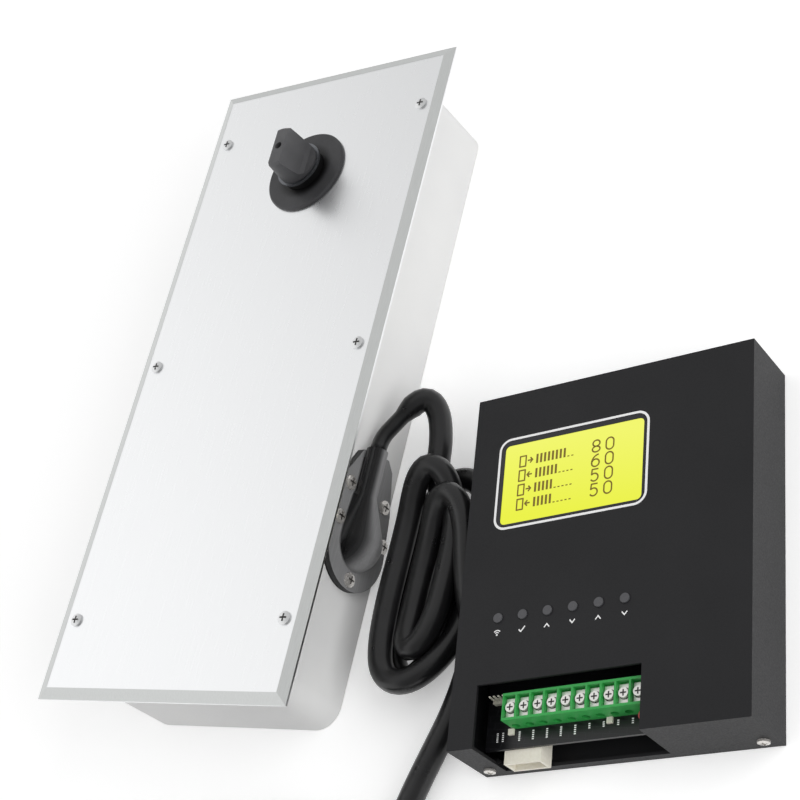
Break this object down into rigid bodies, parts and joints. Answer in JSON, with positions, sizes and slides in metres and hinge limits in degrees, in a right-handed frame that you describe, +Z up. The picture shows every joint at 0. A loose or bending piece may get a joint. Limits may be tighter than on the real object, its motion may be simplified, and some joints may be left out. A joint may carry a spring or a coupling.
{
  "type": "floor spring door closer",
  "caption": "Sunk floor box with a driven, spring-centred door spindle under a flat cover plate, a side cable gland and coiled cable, and a flat wall controller with display and push buttons.",
  "frame": {"origin": "on the flat underside of the floor box, straight below the spindle axis", "axes": "+Z up along the spindle, +Y along the box towards the spindle end, +X across the box towards the cable gland and the controller"},
  "size_m": [0.3815, 0.5498, 0.0926],
  "materials": {
    "powder_white": "white-grey powder coat, fine texture",
    "satin_stainless": "satin stainless sheet with a brushed bevel",
    "nickel": "nickel plated screw",
    "zinc": "zinc plated steel",
    "cast_alloy": "die-cast, as cast",
    "black_oxide": "black oxide steel",
    "phosphated_steel": "dark grey phosphated steel",
    "gear_steel": "ground steel",
    "spring_steel": "spring steel",
    "nitrile": "black nitrile rubber",
    "bearing_steel": "polished bearing steel",
    "gear_bronze": "sintered bronze",
    "motor_can": "drawn steel",
    "green_board": "green solder mask",
    "cable_pvc": "satin black PVC sleeve",
    "acetal": "white acetal",
    "gland_nylon": "dark grey moulded nylon",
    "tie_nylon": "black hook and loop tie",
    "connector_nylon": "natural nylon",
    "black_case": "black powder coated sheet steel",
    "spacer_brass": "brass standoff",
    "black_board": "black solder mask",
    "terminal_green": "green moulded nylon",
    "display_frame": "folded steel display frame",
    "display_glass": "lit yellow-green display",
    "button_plastic": "dark grey moulded plastic"
  },
  "bodies": {
    "root": {"cement_box": "powder_white", "cover_plate": "satin_stainless", "cover_screws": "nickel", "flange_nuts": "zinc", "chassis": "cast_alloy", "levelling_screws": "zinc", "bridge_plate": "cast_alloy", "frame_screws": "black_oxide", "dust_cap": "phosphated_steel", "lip_seal": "nitrile", "bearing_outer_rings": "bearing_steel", "bearing_balls": "bearing_steel", "idler_shaft": "gear_steel", "motor_housing": "motor_can", "terminal_board": "green_board", "wiring_loom": "cable_pvc", "spring_cylinder": "motor_can", "cartridge_caps": "cast_alloy", "cartridge_clamps": "cast_alloy", "front_spring": "spring_steel", "rear_spring": "spring_steel", "rack_guide": "acetal", "gland_gasket": "nitrile", "gland_cover": "gland_nylon", "gland_screws": "nickel", "cable_run": "cable_pvc", "cable_hank": "cable_pvc", "cable_tail": "cable_pvc", "storage_coil": "cable_pvc", "cable_lead": "cable_pvc", "coil_tie": "tie_nylon", "cable_plug": "connector_nylon", "controller_base": "black_case", "controller_cover": "black_case", "case_screws": "nickel", "board_spacers": "spacer_brass", "control_board": "black_board", "terminal_block": "terminal_green", "terminal_screws": "nickel", "motor_socket": "connector_nylon", "board_parts": "connector_nylon", "display_module": "display_frame", "display_window": "display_glass", "keypad_board": "green_board"},
    "spindle_assembly": {"spindle": "phosphated_steel", "drive_gear": "gear_steel", "rack_pinion": "gear_steel", "bearing_inner_rings": "bearing_steel", "snap_ring": "spring_steel"},
    "idler": {"idler_gear": "gear_bronze"},
    "motor": {"motor_rotor": "gear_steel", "motor_pinion": "gear_bronze"},
    "rack": {"rack_bar": "gear_steel", "piston": "cast_alloy"},
    "button_1": {"button_1": "button_plastic"},
    "button_2": {"button_2": "button_plastic"},
    "button_3": {"button_3": "button_plastic"},
    "button_4": {"button_4": "button_plastic"},
    "button_5": {"button_5": "button_plastic"},
    "button_6": {"button_6": "button_plastic"}
  },
  "joints": [
    {"name": "spindle_turn", "type": "hinge", "parent": "root", "child": "spindle_assembly", "pos_m": [0, 0, 0], "axis": [0, 0, 1], "range_deg": [-90, 90], "stiffness_Nm_per_rad": 2},
    {"name": "idler_turn", "type": "hinge", "parent": "root", "child": "idler", "pos_m": [0.022, -0.05421, 0], "axis": [0, 0, 1], "range_deg": [-301, 301]},
    {"name": "motor_turn", "type": "hinge", "parent": "root", "child": "motor", "pos_m": [0.028, -0.0988, 0], "axis": [0, 0, 1], "range_deg": [-901, 901]},
    {"name": "rack_slide", "type": "slide", "parent": "root", "child": "rack", "axis": [0, 1, 0], "range_m": [-0.02005, 0.02005], "deforming": ["front_spring", "rear_spring"]},
    {"name": "button_1_press", "type": "slide", "parent": "root", "child": "button_1", "axis": [0, 0, -1], "range_m": [0, 0.0008], "stiffness_N_per_m": 300},
    {"name": "button_2_press", "type": "slide", "parent": "root", "child": "button_2", "axis": [0, 0, -1], "range_m": [0, 0.0008], "stiffness_N_per_m": 300},
    {"name": "button_3_press", "type": "slide", "parent": "root", "child": "button_3", "axis": [0, 0, -1], "range_m": [0, 0.0008], "stiffness_N_per_m": 300},
    {"name": "button_4_press", "type": "slide", "parent": "root", "child": "button_4", "axis": [0, 0, -1], "range_m": [0, 0.0008], "stiffness_N_per_m": 300},
    {"name": "button_5_press", "type": "slide", "parent": "root", "child": "button_5", "axis": [0, 0, -1], "range_m": [0, 0.0008], "stiffness_N_per_m": 300},
    {"name": "button_6_press", "type": "slide", "parent": "root", "child": "button_6", "axis": [0, 0, -1], "range_m": [0, 0.0008], "stiffness_N_per_m": 300}
  ],
  "couplings": [
    {"joint": "idler_turn", "follows": "spindle_turn", "ratio": -3.3333},
    {"joint": "motor_turn", "follows": "spindle_turn", "ratio": 10},
    {"joint": "rack_slide", "follows": "spindle_turn", "m_per_rad": -0.01275}
  ]
}
